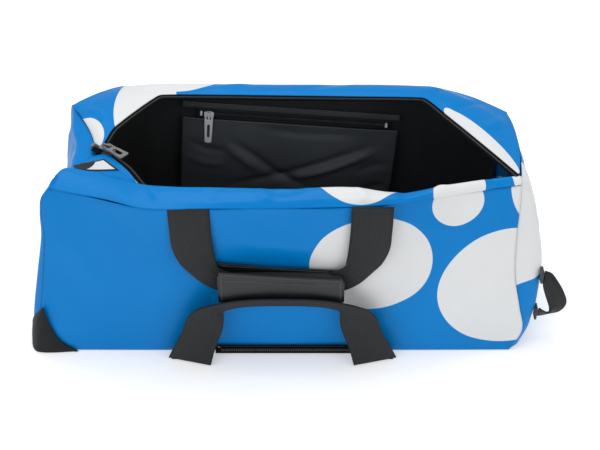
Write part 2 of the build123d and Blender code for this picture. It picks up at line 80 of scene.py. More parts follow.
# ------------------------------------------------------------------ front wall
# The near wall is one piece of glossy PVC-coated tarpaulin, cut from a blue cloth
# printed with large white dots. It hangs slack between the base and the top seam.
class Amount:
    """A value that varies over a surface; arithmetic on it adds the Math nodes."""

    def __init__(self, finish, socket):
        self.finish = finish
        self.socket = socket

    def worked(self, operation, *others, clamp=False):
        settings = {"operation": operation, "use_clamp": clamp}
        made = self.finish.node("ShaderNodeMath", settings, dict(enumerate((self, *others))))
        return Amount(self.finish, made.outputs[0])

    def __add__(self, other):
        return self.worked("ADD", other)

    def __sub__(self, other):
        return self.worked("SUBTRACT", other)

    def __rsub__(self, other):
        return self.worked("MULTIPLY", -1.0) + other

    def __mul__(self, other):
        return self.worked("MULTIPLY", other)

    def __truediv__(self, other):
        return self.worked("DIVIDE", other)

    def __pow__(self, other):
        return self.worked("POWER", other)


def paint(red, green, blue):
    """A colour given as it looks on a screen, from 0 to 255, as light values."""
    shares = (red / 255, green / 255, blue / 255)
    light = [s / 12.92 if s <= 0.04045 else ((s + 0.055) / 1.055) ** 2.4 for s in shares]
    return (*light, 1)


class Finish:
    """A material being put together."""

    def __init__(self, name):
        self.material = bpy.data.materials.new(name)
        self.material.use_nodes = True
        self.tree = self.material.node_tree
        self.tree.nodes.clear()

    def node(self, kind, settings=None, inputs=None):
        """Any node: its settings come first, then values or links for its sockets."""
        made = self.tree.nodes.new(kind)
        for key, value in (settings or {}).items():
            setattr(made, key, value)
        for key, value in (inputs or {}).items():
            value = value.socket if isinstance(value, Amount) else value
            if isinstance(value, bpy.types.NodeSocket):
                self.tree.links.new(value, made.inputs[key])
            else:
                made.inputs[key].default_value = value
        return made

    def place(self, on_cloth=False):
        """Where a point is: on the object, or on the cloth laid out flat, in metres."""
        if on_cloth:
            return self.node("ShaderNodeUVMap", {"uv_map": "flat"}).outputs["UV"]
        return self.node("ShaderNodeTexCoord").outputs["Object"]

    def axes(self, place):
        split = self.node("ShaderNodeSeparateXYZ", None, {0: place})
        return [Amount(self, socket) for socket in split.outputs]

    def cloud(self, place, scale, detail=2.0, roughness=0.5):
        inputs = {"Vector": place, "Scale": scale, "Detail": detail, "Roughness": roughness}
        return Amount(self, self.node("ShaderNodeTexNoise", None, inputs).outputs[0])

    def mix(self, share, first, second):
        """One colour turning into another as share goes from 0 to 1."""
        inputs = {0: share, 6: first, 7: second}
        return self.node("ShaderNodeMix", {"data_type": "RGBA"}, inputs).outputs[2]

    def raised(self, height, distance, onto=None):
        """Relief that stands up by the distance, in metres, where the height is 1."""
        inputs = {"Height": height, "Distance": distance}
        if onto is not None:
            inputs["Normal"] = onto
        return self.node("ShaderNodeBump", None, inputs).outputs[0]

    def surface(self, **inputs):
        named = {key.replace("_", " "): value for key, value in inputs.items()}
        shader = self.node("ShaderNodeBsdfPrincipled", None, named)
        self.node("ShaderNodeOutputMaterial", None, {"Surface": shader.outputs[0]})
        return self.material


def tarpaulin(name, dots, blue=(0, 126, 200), deep=(0, 112, 186)):
    """Coated cloth with white dots, each given by its middle and radius in millimetres.

    A dot that the cloth's shape stretches also has its narrow radius and its turn in degrees.
    """
    finish = Finish(name)
    cloth = finish.place(on_cloth=True)
    across, up, _ = finish.axes(cloth)
    edge = 0.0004
    white = None
    for x, y, radius, *stretch in dots:
        narrow, turn = stretch or (radius, 0)
        cosine, sine = math.cos(math.radians(turn)), math.sin(math.radians(turn))
        right, above = across - x * MM, up - y * MM
        long_way = right * cosine + above * sine
        short_way = (above * cosine - right * sine) * (radius / narrow)
        away = (long_way**2 + short_way**2) ** 0.5
        dot = ((radius * MM - away) / edge + 0.5).worked("ADD", 0.0, clamp=True)
        white = dot if white is None else white.worked("MAXIMUM", dot)
    solid = finish.place()
    slow = finish.cloud(solid, 7, 3)
    fine = finish.cloud(solid, 90, 3)
    tint = finish.mix(slow, paint(*deep), paint(*blue))
    if white is not None:
        chalk = finish.mix(slow, paint(206, 208, 210), paint(222, 224, 225))
        tint = finish.mix(white, tint, chalk)
    scrim = (across * 5200).worked("SINE") * (up * 5200).worked("SINE")
    scuffs = (fine - 0.62).worked("MAXIMUM", 0.0)
    ripple = finish.raised(slow + finish.cloud(solid, 24, 2) * 0.3, 0.004)
    grain = finish.raised(scrim * 0.5 + fine, 0.00006, ripple)
    return finish.surface(
        Base_Color=tint,
        Roughness=scuffs * 0.9 + slow * 0.12 + 0.3,
        Normal=grain,
        Specular_IOR_Level=0.07,
        Coat_Weight=0.09,
        Coat_Roughness=0.22,
    )


def smooth_line(points, shares):
    """Places at the given shares of the length of a smooth line through the points."""
    marks = [0.0]
    for before, after in zip(points, points[1:]):
        marks.append(marks[-1] + (after - before).length)
    found = []
    for share in shares:
        target = share * marks[-1]
        at = 0
        while at < len(points) - 2 and marks[at + 1] < target:
            at += 1
        first, last = max(at - 1, 0), min(at + 2, len(points) - 1)
        span = marks[at + 1] - marks[at]
        t = (target - marks[at]) / span
        leave = (points[at + 1] - points[first]) * span / (marks[at + 1] - marks[first])
        arrive = (points[last] - points[at]) * span / (marks[last] - marks[at])
        found.append(
            (2 * t**3 - 3 * t**2 + 1) * points[at]
            + (t**3 - 2 * t**2 + t) * leave
            + (3 * t**2 - 2 * t**3) * points[at + 1]
            + (t**3 - t**2) * arrive
        )
    return found


def fade(share, margin=0.12):
    """0 at both ends of a run and 1 along its middle."""
    nearest = max(0.0, min(share, 1 - share) / margin)
    return min(1.0, nearest) ** 2 * (3 - 2 * min(1.0, nearest))


def press_folds(bm, folds):
    """Raises or sinks folds along lines: points, half width and height in millimetres."""
    bm.normal_update()
    pushed = {}
    for points, width, height in folds:
        line = [Vector(point) * MM for point in points]
        run = sum((b - a).length for a, b in zip(line, line[1:]))
        for vertex in bm.verts:
            nearest, along, passed = 1e9, 0.0, 0.0
            for start, end in zip(line, line[1:]):
                place, share = geometry.intersect_point_line(vertex.co, start, end)
                share = min(1.0, max(0.0, share))
                gap = (vertex.co - start.lerp(end, share)).length
                if gap < nearest:
                    nearest, along = gap, (passed + share * (end - start).length) / run
                passed += (end - start).length
            reach = nearest / (width * MM)
            if reach < 2.6:
                push = height * MM * math.exp(-reach * reach) * fade(along, 0.35)
                pushed[vertex] = pushed.get(vertex, 0.0) + push
    for vertex, push in pushed.items():
        vertex.co += vertex.normal * push


def finished(name, bm, material, body, slot, *replaced):
    """Turns worked mesh into a piece that rides on its body and stands for its CAD nodes."""
    mesh = bpy.data.meshes.new(name)
    bm.to_mesh(mesh)
    bm.free()
    mesh.polygons.foreach_set("use_smooth", [True] * len(mesh.polygons))
    made = bpy.data.objects.new(name, mesh)
    scene.collection.objects.link(made)
    mesh.materials.append(material)
    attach(made, body)
    if replaced:
        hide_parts(*replaced)
    return made


def cloth_mesh(lines, along, across, flat=None, folds=(), slack=0.0, held=0.1):
    """A sheet of cloth through lines laid side by side, each a list of points."""
    bm = bmesh.new()
    bmesh.ops.create_grid(bm, x_segments=along, y_segments=across, size=0.5)
    flat_map = bm.loops.layers.uv.new("flat")
    lines = [[Vector(point) * MM for point in line] for line in lines]
    rows = [j / across for j in range(across + 1)]
    places = {}
    for i in range(along + 1):
        crossing = [smooth_line(line, [i / along])[0] for line in lines]
        passed = 0.0
        column = smooth_line(crossing, rows)
        for j, point in enumerate(column):
            passed += (point - column[j - 1]).length if j else 0.0
            spread = flat(point, passed) if flat else (point.x, passed)
            places[i, j] = (point, spread)
    for vertex in bm.verts:
        key = (round((vertex.co.x + 0.5) * along), round((vertex.co.y + 0.5) * across))
        vertex.co, spread = places[key]
        for loop in vertex.link_loops:
            loop[flat_map].uv = spread
        edge = fade(key[0] / along, held) * fade(key[1] / across, held)
        wave = noise.noise(vertex.co * 14) + 0.4 * noise.noise(vertex.co * 37)
        vertex.co += Vector((0.3, 1, 0.3)) * wave * slack * MM * edge
    press_folds(bm, folds)
    return bm


def sheet(name, bm, material, slot, node, thickness, side, body="bag"):
    """A finished piece of cloth or webbing with its thickness in millimetres.

    The thickness stands on one side of the mesh, -1 or 1, or half on each at 0.
    """
    made = finished(name, bm, material, body, slot, node)
    solid = made.modifiers.new("thickness", "SOLIDIFY")
    solid.thickness = thickness * MM
    solid.offset = side

def level(height, *places):
    """A line across a wall, all of it at one height."""
    return [(x, y, height) for x, y in places]

front_lines = [
    level(1, (-310, -113), (-240, -113.4), (-150, -113.6), (0, -113.6), (100, -113.6), (230, -113.4), (311, -113)),
    level(33, (-304, -110), (-246, -112), (-150, -114), (0, -114.2), (100, -114), (232, -112.6), (325, -108)),
    level(69, (-298, -106), (-249, -110), (-150, -115.4), (0, -115.4), (100, -115), (226, -111), (318, -103)),
    level(122, (-289, -101), (-244, -107), (-150, -116.8), (0, -116.6), (100, -116.6), (219, -109), (307, -96)),
    level(182, (-280, -95), (-238, -104), (-150, -119), (0, -118.6), (100, -118), (213, -104), (304, -88)),
    level(213, (-280, -92), (-235, -101), (-149, -120.6), (0, -120), (100, -119.2), (211, -100), (304, -84)),
    level(233, (-279, -90), (-232, -99.5), (-148, -121.8), (0, -121.4), (98, -120), (209, -98), (304, -81)),
    [
        (-274, -89, 245), (-231, -99, 243), (-148, -122.6, 243), (0, -122.2, 243), (98, -120.4, 243),
        (208, -97, 243), (303.5, -79, 243),
    ],
    [
        (-267, -88, 252), (-230, -98, 250), (-148, -123, 249), (0, -122.6, 249), (98, -120.6, 249),
        (208, -96.5, 249), (303, -78, 248),
    ],
]
wall_height = 234
front_dots = [(123, 154, 76.5), (298.7, 105.6, 89.7), (226, 238, 32), (375, 262, 85)]


def flat_wall(point, passed):
    return point.x, passed


front_folds = [
    (((-72, -120, 206), (-10, -120, 192), (74, -119, 184)), 15, 3.6),
    (((-70, -120, 236), (0, -120, 234), (74, -119, 232)), 13, -2.2),
    (((-66, -120, 168), (0, -120, 160), (70, -119, 160)), 14, -2.6),
    (((150, -118, 235), (190, -106, 205), (260, -98, 190)), 12, 1.8),
    (((230, -103, 160), (255, -104, 120), (262, -106, 80)), 18, 2.2),
    (((-262, -100, 205), (-240, -106, 150), (-215, -112, 90)), 20, 2.0),
    (((60, -118, 110), (120, -117, 90), (190, -114, 92)), 16, -1.8),
]
sheet(
    "front_wall_cloth",
    cloth_mesh(front_lines, 150, 62, flat_wall, front_folds, slack=1.1),
    tarpaulin("dotted_tarpaulin_front", front_dots),
    "tarpaulin", "front_panel", 1.2, 1.0,
)

# ------------------------------------------------------------------ end walls and far wall
# Three more pieces of the same cloth. The left end leans in towards the zip; the
# right end is slack and swells outwards. All are sewn edge to edge from the inside.
left_lines = [
    level(1, (-310, -113), (-321, -99), (-316, -50), (-314, 20), (-313, 80), (-308, 112)),
    level(33, (-304, -110), (-315, -98), (-311, -50), (-309, 20), (-308, 80), (-303, 110)),
    level(69, (-298, -106), (-309, -96), (-305, -50), (-301, 15), (-300, 75), (-297, 106)),
    level(122, (-289, -101), (-298, -93), (-294, -45), (-288, 10), (-288, 70), (-288, 101)),
    level(182, (-280, -95), (-286, -90), (-280, -45), (-273, 8), (-275, 65), (-278, 96)),
    level(213, (-280, -92), (-284, -88), (-269, -45), (-261, 6), (-269, 60), (-272, 92)),
    [
        (-279, -90, 233), (-280, -86, 234), (-258, -48, 235), (-252, 6, 236), (-263, 50, 236),
        (-268, 88, 236),
    ],
    [
        (-274, -89, 245), (-268, -78, 249), (-248, -50, 249), (-246, 2, 249), (-257, 45, 250),
        (-265, 84, 250),
    ],
    [
        (-267, -88, 252), (-262, -76, 255), (-243, -50, 251), (-221, -14, 248), (-230, 26, 254),
        (-262, 79, 257),
    ],
]
right_lines = [
    level(1, (311, -113), (326, -98), (331, -50), (331, 10), (329, 80), (309, 112)),
    level(33, (325, -108), (337, -94), (337, -50), (336, 10), (333, 80), (312, 110)),
    level(69, (318, -103), (342, -90), (341, -48), (340, 10), (334, 78), (311, 108)),
    level(122, (307, -96), (342, -84), (342, -45), (339, 10), (331, 74), (309, 103)),
    level(182, (304, -88), (330, -78), (335, -42), (330, 10), (323, 68), (307, 96)),
    level(213, (304, -84), (323, -74), (327, -40), (323, 10), (317, 64), (306, 90)),
    [(304, -81, 233), (318, -72, 235), (318, -38, 235), (315, 10, 235), (312, 60, 236), (305, 84, 236)],
    [(303.5, -79, 243), (313, -71, 244), (314, -35, 245), (312, 10, 246), (310, 52, 247), (304, 76, 248)],
    [
        (303, -78, 248), (305, -70, 254), (309, -32, 254.5), (309.5, 10, 255.5), (308, 44, 254.5),
        (304, 67, 254),
    ],
]
far_lines = [
    level(1, (-308, 112), (-190, 115), (0, 115.5), (208, 115), (309, 112)),
    level(33, (-303, 110), (-190, 116), (0, 117), (208, 116), (312, 110)),
    level(69, (-297, 106), (-190, 117), (0, 118), (208, 117), (311, 108)),
    level(122, (-288, 101), (-192, 119), (0, 119.5), (208, 119), (309, 103)),
    level(182, (-278, 96), (-193, 120.5), (0, 120.5), (208, 120), (307, 96)),
    level(213, (-272, 92), (-194, 121.5), (0, 121), (208, 120.5), (306, 90)),
    level(236, (-268, 88), (-195, 121.5), (0, 121.5), (208, 121), (305, 84)),
    [(-265, 84, 250), (-196, 122, 250), (0, 122, 250), (208, 121, 250), (304, 76, 248)],
    [(-262, 79, 257), (-196, 122, 257.5), (0, 122, 257.5), (208, 120, 257.5), (304, 67, 254)],
]


def flat_end(point, passed):
    return point.y, passed


left_folds = [
    (((-278, 20, 190), (-262, 20, 228), (-246, 12, 250)), 7, 2.6),
    (((-276, -20, 190), (-263, -18, 226), (-244, -22, 248)), 8, -2.6),
    (((-279, 52, 180), (-266, 50, 225), (-252, 46, 250)), 8, -2.4),
    (((-300, -60, 100), (-288, -50, 150), (-276, -46, 205)), 12, 2.4),
    (((-302, 60, 70), (-292, 40, 120), (-280, 36, 170)), 14, -2.4),
]
right_folds = [
    (((318, -80, 236), (328, -76, 200), (336, -74, 165)), 5, 2.6),
    (((316, -62, 240), (328, -58, 200), (338, -60, 150)), 7, -3.0),
    (((342, -70, 110), (342, -40, 80), (338, -20, 50)), 12, 2.4),
    (((314, 20, 240), (328, 26, 196), (336, 30, 140)), 12, 2.6),
    (((341, -10, 120), (340, 20, 90), (336, 50, 60)), 14, -3.0),
]
far_folds = [
    (((-120, 120, 210), (-40, 120, 190), (60, 120, 196)), 18, -2.2),
    (((90, 119, 150), (150, 119, 110), (190, 117, 60)), 18, 2.4),
    (((-240, 110, 190), (-220, 114, 130), (-200, 116, 70)), 16, 2.2),
]
left_dots = [(160, 60, 60)]
right_dots = [(-150, 215, 120), (70, 90, 46)]
far_dots = [(-150, 150, 62), (40, 40, 78), (215, 170, 58), (-250, 20, 40), (120, 236, 30)]
for name, lines, folds, dots, flat, replaced, cells in (
    ("left_end_cloth", left_lines, left_folds, left_dots, flat_end, "left_end_panel", 60),
    ("right_end_cloth", right_lines, right_folds, right_dots, flat_end, "right_end_panel", 60),
    ("far_wall_cloth", far_lines, far_folds, far_dots, flat_wall, "back_panel", 140),
):
    sheet(
        name,
        cloth_mesh(lines, cells, 60, flat, folds, slack=1.4),
        tarpaulin("dotted_tarpaulin_" + name, dots),
        "tarpaulin", replaced, 1.2, 1.0 if name == "left_end_cloth" else -1.0,
    )

# ------------------------------------------------------------------ top halves
# Two more pieces of the dotted cloth close the top on both sides of the zip. The near
# one rolls over a soft crest and its edge is turned down inside; the far one stands up.
near_flap_lines = [
    [
        (-267, -89.5, 252), (-259, -91.5, 251), (-196, -108.5, 250), (-148, -124.6, 249),
        (-68, -125, 249.5), (0, -124, 249.5), (90, -121.8, 249.5), (150, -115.5, 249),
        (226, -96.5, 249.5), (303, -78, 249),
    ],
    [
        (-266, -87, 257), (-255, -80, 256), (-194, -98, 254), (-150, -114, 253), (-68, -117, 255),
        (0, -116, 255.5), (89, -114, 256), (149, -110, 254), (226, -95, 255), (304, -75, 253),
    ],
    [
        (-262, -80, 260.5), (-249, -62, 260.5), (-188, -79, 254.5), (-151, -95, 257), (-60, -99, 258),
        (12, -102, 259), (97, -99, 259), (158, -101, 252.5), (216, -92, 258.5), (303, -71, 255),
    ],
    [
        (-257, -70, 259), (-242, -54, 254), (-186, -69, 251), (-148, -87, 254), (-60, -92, 252.5),
        (12, -94, 253.5), (97, -92, 253), (158, -95, 249), (215, -85, 253), (300, -67, 253),
    ],
    [
        (-246, -52, 251), (-230, -38, 250), (-184, -55, 249), (-146, -84, 243), (-60, -88, 238),
        (12, -90, 238), (97, -88, 238), (158, -88, 236), (214, -79, 240), (298, -64, 250),
    ],
    [
        (-223, -18, 247), (-206, -21, 251), (-179, -49, 250), (-146, -84, 240), (-60, -87, 223),
        (12, -89, 222), (97, -87, 222), (158, -84, 223), (212, -75, 226), (295, -62, 248),
    ],
]
near_dots = [(226, 238, 32), (108, 294, 58), (375, 262, 85), (-141, 316, 27)]
near_folds = [
    (((-150, -92, 262), (-135, -108, 258), (-138, -120, 254)), 5.4, 2.4),
    (((-74, -97, 261), (-70, -108, 258), (-67, -121, 253)), 7, -1.5),
    (((-20, -99, 261), (-6, -112, 259), (0, -121, 254)), 8.5, 2.2),
    (((46, -99, 261), (14, -106, 260), (-16, -99, 261)), 6.8, -3.9),
    (((96, -98, 261), (112, -108, 258), (108, -120, 254)), 5.4, 2.7),
    (((150, -98, 256), (164, -104, 254), (152, -113, 252)), 8.5, -3),
    (((196, -92, 259), (206, -96, 257), (204, -101, 252)), 5.8, 2.2),
    (((258, -80, 258), (268, -84, 256), (280, -84, 251)), 6.1, -2.2),
    (((-232, -60, 260), (-205, -76, 261), (-168, -96, 259)), 10.2, 2.1),
]


def flat_near_flap(point, passed):
    return point.x, passed + wall_height * MM


near_bm = cloth_mesh(near_flap_lines, 190, 54, flat_near_flap, near_folds, slack=1.0, held=0.06)
near_flap_tree = BVHTree.FromBMesh(near_bm)
sheet(
    "near_top_cloth",
    near_bm,
    tarpaulin("dotted_tarpaulin_near_top", near_dots),
    "tarpaulin", "front_top_panel", 1.2, 1.0,
)

far_edge = [
    (-219.5, -11, 249.5), (-213, -6, 254), (-203, 18, 261), (-198, 27, 262), (-176, 56, 265), (-152, 79, 270.4),
    (-145, 83, 271), (-76, 83, 271), (20, 81, 271), (105, 79, 271), (190, 76.6, 271), (199, 74, 270.4),
    (224, 46, 264), (246, 14, 262), (279, -41, 262), (301, -69, 256.5),
]
far_rim = [
    (-262, 77, 257.5), (-252, 87, 258.5), (-226, 108, 259), (-197, 121, 259), (8, 121, 259),
    (208, 118.5, 259), (235, 109, 259), (262, 96, 258), (284, 80, 257), (303, 66, 255),
]
far_crest = [
    (-245, 50, 257), (-238, 58, 262), (-212, 84, 265), (-180, 108, 268), (0, 107, 270),
    (206, 104, 269), (236, 90, 267), (262, 68, 265), (288, 40, 261), (308, 20, 256.5),
]
far_inner = [
    (-229, 18, 254.5), (-222, 24, 261), (-208, 52, 265), (-168, 92, 270), (0, 92, 273),
    (202, 88, 272), (234, 64, 268), (258, 32, 266), (289, -10, 261), (307.5, -26, 256),
]
far_flap_dots = [(-253, 8, 41), (-165, 66, 84, 40, 90), (-132, 119, 58, 30, 0), (261, -4, 74, 13.5, -58)]


def flat_far_flap(point, passed):
    return point.x, point.y


far_flap_folds = [
    (((-146, 84, 272), (-170, 98, 268), (-192, 118, 260)), 4, 1.8),
    (((-202, 24, 263), (-222, 50, 264), (-250, 70, 260)), 5, -1.8),
    (((196, 77, 272), (214, 92, 269), (232, 106, 261)), 4, 1.8),
    (((224, 48, 265), (252, 66, 265), (276, 84, 259)), 6, 2.2),
    (((262, 10, 263), (286, 30, 262), (300, 50, 257)), 6, -2.0),
    (((-110, 88, 272), (-60, 100, 270), (-20, 116, 264)), 6, -1.6),
    (((20, 86, 272), (60, 98, 270), (110, 112, 265)), 7, 1.4),
]
sheet(
    "far_top_cloth",
    cloth_mesh([far_rim, far_crest, far_inner, far_edge], 190, 34, flat_far_flap, far_flap_folds, 0.8, 0.06),
    tarpaulin("dotted_tarpaulin_far_top", far_flap_dots),
    "tarpaulin", "back_top_panel", 1.2, -1.0,
)

# ------------------------------------------------------------------ base
# The bottom is a plain piece of the same cloth under a stiff board, with a thin
# cloth lining over the board inside.
sheet(
    "base_cloth",
    cloth_mesh([front_lines[0], far_lines[0]], 90, 30, flat_wall),
    tarpaulin("plain_tarpaulin_base", []),
    "tarpaulin", "base_panel", 1.6, 1.0,
)


def stiff_board(name):
    finish = Finish(name)
    solid = finish.place()
    fibres = finish.cloud(solid, 220, 4, 0.7)
    tint = finish.mix(fibres, paint(60, 60, 62), paint(92, 92, 94))
    return finish.surface(Base_Color=tint, Roughness=fibres * 0.2 + 0.6, Normal=finish.raised(fibres, 0.0002))


def recolour(node, material):
    """Gives its own finish to a CAD node that is shown as it is."""
    nodes[node].data.materials.clear()
    nodes[node].data.materials.append(material)

recolour("base_board", stiff_board("pressed_board"))

# ------------------------------------------------------------------ lining
# Inside, the walls and the base are covered with thin black twill that hangs
# in upright folds and stops just short of the seams.


def twill(name, dark=(5, 6, 8), light=(18, 20, 22)):
    finish = Finish(name)
    x, y, z = finish.axes(finish.place())
    solid = finish.place()
    ribs = ((x + z * 0.9 + y * 0.4) * 4200).worked("SINE")
    slow = finish.cloud(solid, 16, 3)
    tint = finish.mix(slow * 0.7 + ribs * 0.12 + 0.1, paint(*dark), paint(*light))
    return finish.surface(
        Base_Color=tint,
        Roughness=slow * 0.2 + 0.5,
        Normal=finish.raised(ribs * 0.3 + slow * 8, 0.00025),
        Sheen_Weight=0.25,
        Sheen_Roughness=0.5,
    )


def lining_lines(lines, shift_x, shift_y, squeeze, top):
    """The wall's own lines moved inwards, without the topmost ones."""
    moved = []
    for line in lines[1:top]:
        moved.append([((x * squeeze) + shift_x, y * squeeze + shift_y, z + 4) for x, y, z in line])
    return moved


lining_cloth = twill("black_twill")
lining_folds = {
    "back_lining": [
        (((-150, 114, 225), (-152, 114, 150), (-150, 113, 60)), 5, -2.8),
        (((-172, 114, 235), (-170, 114, 160), (-174, 112, 70)), 6, 2.6),
        (((-200, 112, 230), (-204, 112, 150), (-200, 110, 60)), 7, -3.0),
        (((196, 114, 235), (200, 114, 150), (196, 112, 60)), 8, 2.6),
        (((236, 106, 230), (238, 106, 150), (232, 108, 60)), 8, -3.0),
    ],
    "left_lining": [
        (((-262, 40, 215), (-278, 40, 150), (-290, 44, 80)), 7, 3.0),
        (((-262, 10, 215), (-278, 6, 150), (-292, 4, 80)), 7, -3.0),
        (((-266, 70, 220), (-276, 72, 150), (-290, 76, 80)), 6, 3.0),
    ],
    "front_lining": [(((0, -112, 200), (4, -112, 140), (0, -112, 60)), 9, 2.4)],
    "right_lining": [(((312, 20, 120), (316, 20, 90), (314, 16, 60)), 9, 2.4)],
}
for node, lines, shift, top in (
    ("front_lining", front_lines, (0, -0.6, 0.965), 8),
    ("back_lining", far_lines, (0, -1.2, 0.985), 8),
    ("left_lining", left_lines, (-1.2, 0, 0.965), 7),
    ("right_lining", right_lines, (6.2, 0, 0.965), 4),
):
    sheet(
        node + "_cloth",
        cloth_mesh(lining_lines(lines, *shift, top), 96, 36, None, lining_folds[node], slack=1.6),
        lining_cloth,
        "lining", node, 0.6, 0.0,
    )

floor_line = [(-296, -103, 8), (-100, -104, 7.4), (120, -104, 7.4), (298, -103, 8)]
middle_line = [(x, 0, z - 0.6) for x, _, z in floor_line]
far_line = [(x, -y, z) for x, y, z in floor_line]
sheet(
    "base_lining_cloth",
    cloth_mesh([floor_line, middle_line, far_line], 90, 30),
    lining_cloth,
    "lining", "base_lining", 0.7, 0.0,
)

# ------------------------------------------------------------------ zipped pocket
# A flat pocket of black pack cloth is sewn to the far lining. It is slack, so its
# front is pulled into folds that cross, and a coil zip runs along its top.


def pack_cloth(name):
    finish = Finish(name)
    x, _, z = finish.axes(finish.place())
    solid = finish.place()
    weave = (x * 5000).worked("SINE") * (z * 5000).worked("SINE")
    slow = finish.cloud(solid, 11, 3)
    tint = finish.mix(slow * 0.8 + weave * 0.08, paint(52, 56, 60), paint(88, 92, 96))
    return finish.surface(
        Base_Color=tint,
        Roughness=slow * 0.2 + 0.38,
        Normal=finish.raised(weave * 0.4 + slow * 10, 0.0002),
        Specular_IOR_Level=0.4,
    )


pocket_tilt = math.radians(-4.5)
pocket_turn = Matrix.Rotation(-pocket_tilt, 3, "Y")
pocket_middle = Vector((23, 116.6, 211))
wall_lean = 0.027


def on_pocket(x, z, out=0.0):
    """A place on the pocket, from the middle of its zip, in millimetres."""
    place = pocket_middle + pocket_turn @ Vector((x, 0, z))
    return Vector((place.x, place.y + wall_lean * (place.z - pocket_middle.z) - out, place.z))


pocket_cloth = pack_cloth("pocket_pack_cloth")
pocket_columns = (-147, -110, -60, 0, 60, 110, 147)
pocket_depths = ((-8, 1.2), (-20, 2.2), (-50, 5), (-85, 6), (-118, 3), (-150, 1.5))
pocket_lines = []
for z, out in pocket_depths:
    pocket_lines.append([on_pocket(x, z, out + (0 if abs(x) > 140 else 1.5)) for x in pocket_columns])
pocket_creases = (
    (((-92, -30, 4), (-9, -92, 6), (50, -118, 4)), 7, 5.5),
    (((128, -26, 3), (60, -62, 6), (-9, -92, 6), (-100, -122, 4)), 7, 5.5),
    (((132, -36, 3), (62, -72, 6), (0, -98, 6)), 6, -6.5),
    (((-92, -44, 3), (-30, -88, 6)), 8, -5.0),
    (((-144, -40, 3), (-110, -56, 5), (-70, -56, 5)), 6, 3.0),
    (((-146, -66, 3), (-112, -78, 5), (-80, -76, 5)), 6, -3.0),
    (((146, -60, 3), (116, -66, 5), (90, -82, 5)), 6, 3.0),
    (((146, -98, 3), (124, -100, 5), (100, -112, 5)), 6, 3.0),
    (((-60, -16, 3), (20, -22, 5), (110, -17, 4)), 6, 2.4),
)
pocket_folds = []
for line, width, height in pocket_creases:
    pocket_folds.append(([on_pocket(*place) for place in line], width, height))
sheet(
    "pocket_cloth",
    cloth_mesh(pocket_lines, 120, 60, None, pocket_folds, slack=1.2),
    pocket_cloth,
    "lining", "pocket_panel", 0.7, 0.0,
)
binding_lines = [[on_pocket(x, z, 1.2 + 0.4 * (z == 12)) for x in pocket_columns] for z in (8, 12, 17)]
sheet(
    "pocket_top_binding_cloth",
    cloth_mesh(binding_lines, 100, 8, None),
    pocket_cloth,
    "lining", "pocket_top_binding", 1.0, 0.0,
)


def small_block(bm, width, depth, height, matrix):
    """A small softened block, used where many alike make a row."""
    bmesh.ops.create_cube(bm, size=1, matrix=matrix @ Matrix.Diagonal((width * MM, depth * MM, height * MM, 1)))


def frame_at(place, along, upward):
    """The turn and place of something that points along a line with its back upward."""
    x = along.normalized()
    y = upward.cross(x).normalized()
    return Matrix.Translation(place) @ Matrix((x, y, x.cross(y))).transposed().to_4x4()


def row_along(points, pitch, upward, maker):
    """Calls maker with the frame of each step of a row along a smooth line."""
    run = sum((b - a).length for a, b in zip(points, points[1:]))
    count = max(2, round(run / (pitch * MM)))
    places = smooth_line(points, [i / count for i in range(count + 1)])
    for before, after in zip(places, places[1:]):
        maker(frame_at((before + after) / 2, after - before, upward))


def thread(name, tone):
    finish = Finish(name)
    x, y, z = finish.axes(finish.place())
    twist = ((x + y + z) * 9000).worked("SINE") * 0.5 + 0.5
    shade = tuple(0.6 * c for c in tone)
    tint = finish.mix(twist, paint(*shade), paint(*tone))
    return finish.surface(Base_Color=tint, Roughness=0.6, Normal=finish.raised(twist, 0.0001))


def stitches(name, lines, material, body, slot, upward, pitch=3.4, length=2.5, thick=0.55):
    """Rows of lock stitches that lie on the cloth, one little thread loop after another."""
    bm = bmesh.new()
    for line in lines:
        points = [Vector(point) * MM for point in line]
        row_along(points, pitch, upward, lambda matrix: small_block(bm, length, thick, thick, matrix))
    bmesh.ops.bevel(
        bm, geom=bm.edges[:], offset=thick * 0.28 * MM, affect="EDGES", segments=1, profile=0.5, material=-1
    )
    return finished(name, bm, material, body, slot)


black_thread = thread("black_thread", (70, 73, 76))
towards_mouth = Vector((0, -1, 0))
pocket_seams = [[on_pocket(x, z, 2.2) for x in (-147, -60, 60, 147)] for z in (9.5, 15.5)]
pocket_seams += [[on_pocket(x, -10.5, 3.4) for x in (-144, -60, 60, 144)]]
pocket_seams += [[on_pocket(x, z, 2.6) for z in (-14, -60, -110)] for x in (-143.5, 143.5)]
stitches("pocket_stitching", pocket_seams, black_thread, "bag", "lining", towards_mouth)

# ------------------------------------------------------------------ zips
# Coil zips: two woven tapes with a nylon coil sewn along each edge. The main zip is
# open, so its two coils stand apart; the pocket and lower edge zips are closed.


def woven_tape(name, dark, light):
    finish = Finish(name)
    across, along, _ = finish.axes(finish.place(on_cloth=True))
    ribs = (across * 6300).worked("SINE") * (along * 6300).worked("SINE")
    slow = finish.cloud(finish.place(), 60, 2)
    tint = finish.mix(ribs * 0.4 + slow * 0.5, paint(*dark), paint(*light))
    return finish.surface(
        Base_Color=tint, Roughness=slow * 0.1 + 0.8, Specular_IOR_Level=0.12, Normal=finish.raised(ribs, 0.0002)
    )


def nylon(name, dark, light):
    finish = Finish(name)
    slow = finish.cloud(finish.place(), 300, 2)
    tint = finish.mix(slow, paint(*dark), paint(*light))
    return finish.surface(Base_Color=tint, Roughness=slow * 0.2 + 0.25, Normal=finish.raised(slow, 0.00005))


tape_cloth = woven_tape("zip_tape_weave", (6, 7, 8), (20, 21, 23))
pocket_tape_cloth = woven_tape("pocket_zip_tape_weave", (28, 31, 34), (56, 60, 63))
black_nylon = nylon("black_nylon_coil", (44, 46, 48), (84, 86, 88))


